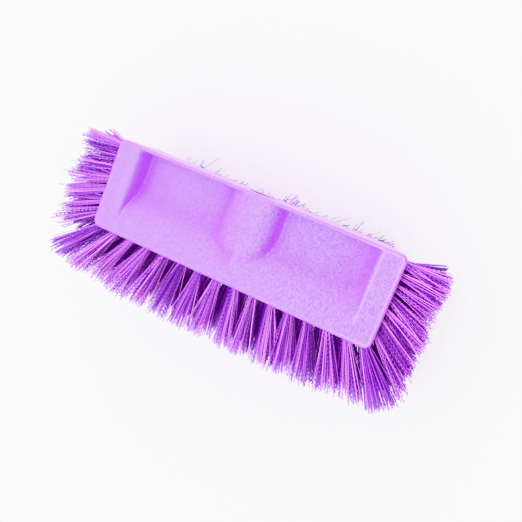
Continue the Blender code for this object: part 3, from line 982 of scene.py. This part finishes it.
def foam_grain(tree, place):
    """Fine noise, drawn out and swirled like the skin of foamed plastic."""
    link = tree.links.new
    swirl = add_node(tree, "ShaderNodeTexNoise", Scale=SWIRL_SCALE, Detail=3.0, Distortion=1.0)
    link(place, swirl.inputs["Vector"])
    push = add_node(tree, "ShaderNodeVectorMath", operation="MULTIPLY_ADD")
    push.inputs[1].default_value = SWIRL_PUSH
    link(swirl.outputs["Color"], push.inputs[0])
    link(place, push.inputs[2])
    stretch = add_node(tree, "ShaderNodeMapping", Rotation=GRAIN_TURN, Scale=GRAIN_STRETCH)
    link(push.outputs[0], stretch.inputs["Vector"])
    grain = add_node(tree, "ShaderNodeTexNoise", Scale=GRAIN_SCALE, Detail=1.0, Roughness=0.6)
    link(stretch.outputs["Vector"], grain.inputs["Vector"])
    return grain.outputs["Fac"]


def foam_mottle(tree, grain, painted_sheen):
    """The grain as pale flecks, which stand out most where the painted sheen does."""
    node = add_node(tree, "ShaderNodeMix", data_type="FLOAT")
    plug(tree, node.inputs[0], mapped(tree, painted_sheen, target=(LEAST_MOTTLE, 1.0)))
    plug(tree, node.inputs[2], 0.5)
    plug(tree, node.inputs[3], mapped(tree, grain, FLECKS))
    return node.outputs[0]


def foam_material():
    """Moulded foam plastic: violet, with fine swirls, and painted paler, as painted light, on the faces
    that look up or back.
    """
    material = bpy.data.materials.new("foamed_plastic")
    material.use_nodes = True
    tree = material.node_tree
    shader = tree.nodes["Principled BSDF"]
    place = add_node(tree, "ShaderNodeTexCoord").outputs["Object"]
    along = add_node(tree, "ShaderNodeSeparateXYZ")
    plug(tree, along.inputs[0], place)
    facing = add_node(tree, "ShaderNodeSeparateXYZ")
    plug(tree, facing.inputs[0], add_node(tree, "ShaderNodeNewGeometry").outputs["Normal"])
    painted_shading = add_node(tree, "ShaderNodeAttribute", attribute_name="painted_shading").outputs["Fac"]
    edge_highlight = add_node(tree, "ShaderNodeAttribute", attribute_name="edge_highlight").outputs["Fac"]
    # painted sheen: paler and more flecked towards the right end
    painted_sheen = mapped(tree, along.outputs["X"], PAINTED_SHEEN_ALONG_X)
    grain = foam_grain(tree, place)
    mottle = foam_mottle(tree, grain, painted_sheen)

    sheen_paleness = mapped(tree, painted_sheen, target=(LEAST_SHEEN_PALENESS, 1.0))
    # the share of the lit tint on faces that look up: painted light
    pale = computed(tree, "MULTIPLY", (mapped(tree, facing.outputs["Z"], UPWARD_PAINTED_LIGHT), sheen_paleness))
    # painted shade in the hollows takes the lit tint away
    pale = computed(tree, "MULTIPLY_ADD", (painted_shading, -PAINTED_SHADING_SHARE, pale), use_clamp=True)
    shaded_colour, lit_colour = (mixed(tree, mottle, *tints) for tints in (SHADED_TINTS, LIT_TINTS))
    colour = mixed(tree, pale, shaded_colour, lit_colour)
    # painted highlight along the top edge
    colour = mixed(tree, computed(tree, "MULTIPLY", (edge_highlight, EDGE_HIGHLIGHT_SHARE)), colour, EDGE_HIGHLIGHT_TINT)
    # painted light: the faces that look back are painted pale
    rear = mapped(tree, facing.outputs["Y"], BACKWARD_PAINTED_LIGHT, (0.0, REAR_PAINTED_LIGHT_SHARE))
    colour = mixed(tree, rear, colour, REAR_PAINTED_LIGHT_TINT)
    # painted shade inside the handle socket
    deep = mapped(tree, painted_shading, (SOCKET_SHADE_FROM, SOCKET_PAINTED_SHADE))
    colour = mixed(tree, deep, colour, SOCKET_SHADE_TINT)
    plug(tree, shader.inputs["Base Color"], colour)

    plug(tree, shader.inputs["Roughness"], mapped(tree, grain, target=FOAM_ROUGHNESS))
    relief = add_node(tree, "ShaderNodeBump", Strength=1.0, Distance=GRAIN_HEIGHT)
    plug(tree, relief.inputs["Height"], grain)
    plug(tree, shader.inputs["Normal"], relief.outputs["Normal"])
    shader.inputs["Specular IOR Level"].default_value = 0.8
    shader.inputs["Sheen Weight"].default_value = 0.3
    shader.inputs["Sheen Roughness"].default_value = 0.3
    shader.inputs["Sheen Tint"].default_value = FOAM_SHEEN_TINT
    return material


def filament_material():
    """Polyester filament: deep violet, glossy, each filament a little lighter or darker; the straight ones
    are painted pink as painted highlights, the rear wisps near black as painted shade, and the lower rows'
    fill lifted as painted light.
    """
    material = bpy.data.materials.new("bristle_filament")
    material.use_nodes = True
    tree = material.node_tree
    shader = tree.nodes["Principled BSDF"]
    tone = add_node(tree, "ShaderNodeAttribute", attribute_name="tone")
    tint = add_node(tree, "ShaderNodeValToRGB")
    stops = tint.color_ramp.elements
    for position, colour in FILAMENT_TINTS[1:-1]:
        stops.new(position).color = colour
    stops[0].color = FILAMENT_TINTS[0][1]
    stops[len(stops) - 1].color = FILAMENT_TINTS[-1][1]
    tree.links.new(tone.outputs["Fac"], tint.inputs["Fac"])
    tree.links.new(tint.outputs["Color"], shader.inputs["Base Color"])
    shader.inputs["Roughness"].default_value = 0.3
    shader.inputs["Specular IOR Level"].default_value = 0.6
    return material


def floor_material():
    material = bpy.data.materials.new("floor")
    material.use_nodes = True
    shader = material.node_tree.nodes["Principled BSDF"]
    shader.inputs["Base Color"].default_value = FLOOR_TINT
    shader.inputs["Roughness"].default_value = 0.9
    shader.inputs["Specular IOR Level"].default_value = 0.1
    return material


# Studio: a light's name, place, size, power and colour

LIGHTS = (
    ("key", (-1.0, -0.1, 2.0), 2.0, 77, (1.0, 1.0, 1.0)),
    ("fill", (1.4, -0.5, 1.3), 1.0, 11, (1.0, 1.0, 1.0)),
    ("front", (0.1, -1.6, 0.6), 1.2, 22, (1.0, 1.0, 1.0)),
    ("rear", (-0.5, 1.45, 0.55), 1.0, 40, (0.97, 1.0, 0.96)))
LIGHT_TARGET = (0, 0, 0.05)
SURROUND_STRENGTH = 0.95
FLOOR_HALF_WIDTH = 3.0


def add_light(name, place, size, power, colour):
    data = bpy.data.lights.new(name, "AREA")
    data.shape = "SQUARE"
    data.size = size
    data.energy = power
    data.color = colour
    light = bpy.data.objects.new(name, data)
    light.location = place
    light.rotation_euler = (Vector(LIGHT_TARGET) - Vector(place)).to_track_quat("-Z", "Y").to_euler()
    bpy.context.scene.collection.objects.link(light)


def add_floor():
    bm = bmesh.new()
    bmesh.ops.create_grid(bm, x_segments=8, y_segments=8, size=FLOOR_HALF_WIDTH)
    mesh = bpy.data.meshes.new("floor")
    bm.to_mesh(mesh)
    bm.free()
    mesh_object("floor", mesh, floor_material())


def add_camera():
    data = bpy.data.cameras.new("camera")
    data.sensor_width = SENSOR_WIDTH
    data.lens = FOCAL_PIXELS / FRAME_PIXELS * SENSOR_WIDTH
    camera = bpy.data.objects.new("camera", data)
    camera.location = ORIGIN + CAMERA_PLACE
    camera.rotation_euler = CAMERA_TURN
    bpy.context.scene.collection.objects.link(camera)
    bpy.context.scene.camera = camera


def set_studio():
    world = bpy.data.worlds.new("studio")
    world.use_nodes = True
    background = world.node_tree.nodes["Background"]
    background.inputs["Color"].default_value = (1, 1, 1, 1)
    background.inputs["Strength"].default_value = SURROUND_STRENGTH
    bpy.context.scene.world = world
    for light in LIGHTS:
        add_light(*light)
    add_floor()
    add_camera()
    bpy.context.scene.view_settings.view_transform = "Khronos PBR Neutral"


def main():
    rows = front_rows() + end_rows() + corner_rows() + bottom_rows()
    block = mesh_object("block_moulding", block_mesh(rows), foam_material())
    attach(block, "root")
    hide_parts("block")
    filament = filament_material()
    for number, row in enumerate(rows):
        piece = mesh_object(f"{row.name}_filaments", filament_mesh(row, FILAMENT_SEED + number), filament)
        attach(piece, "root")
        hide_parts(row.name)
    set_studio()


main()
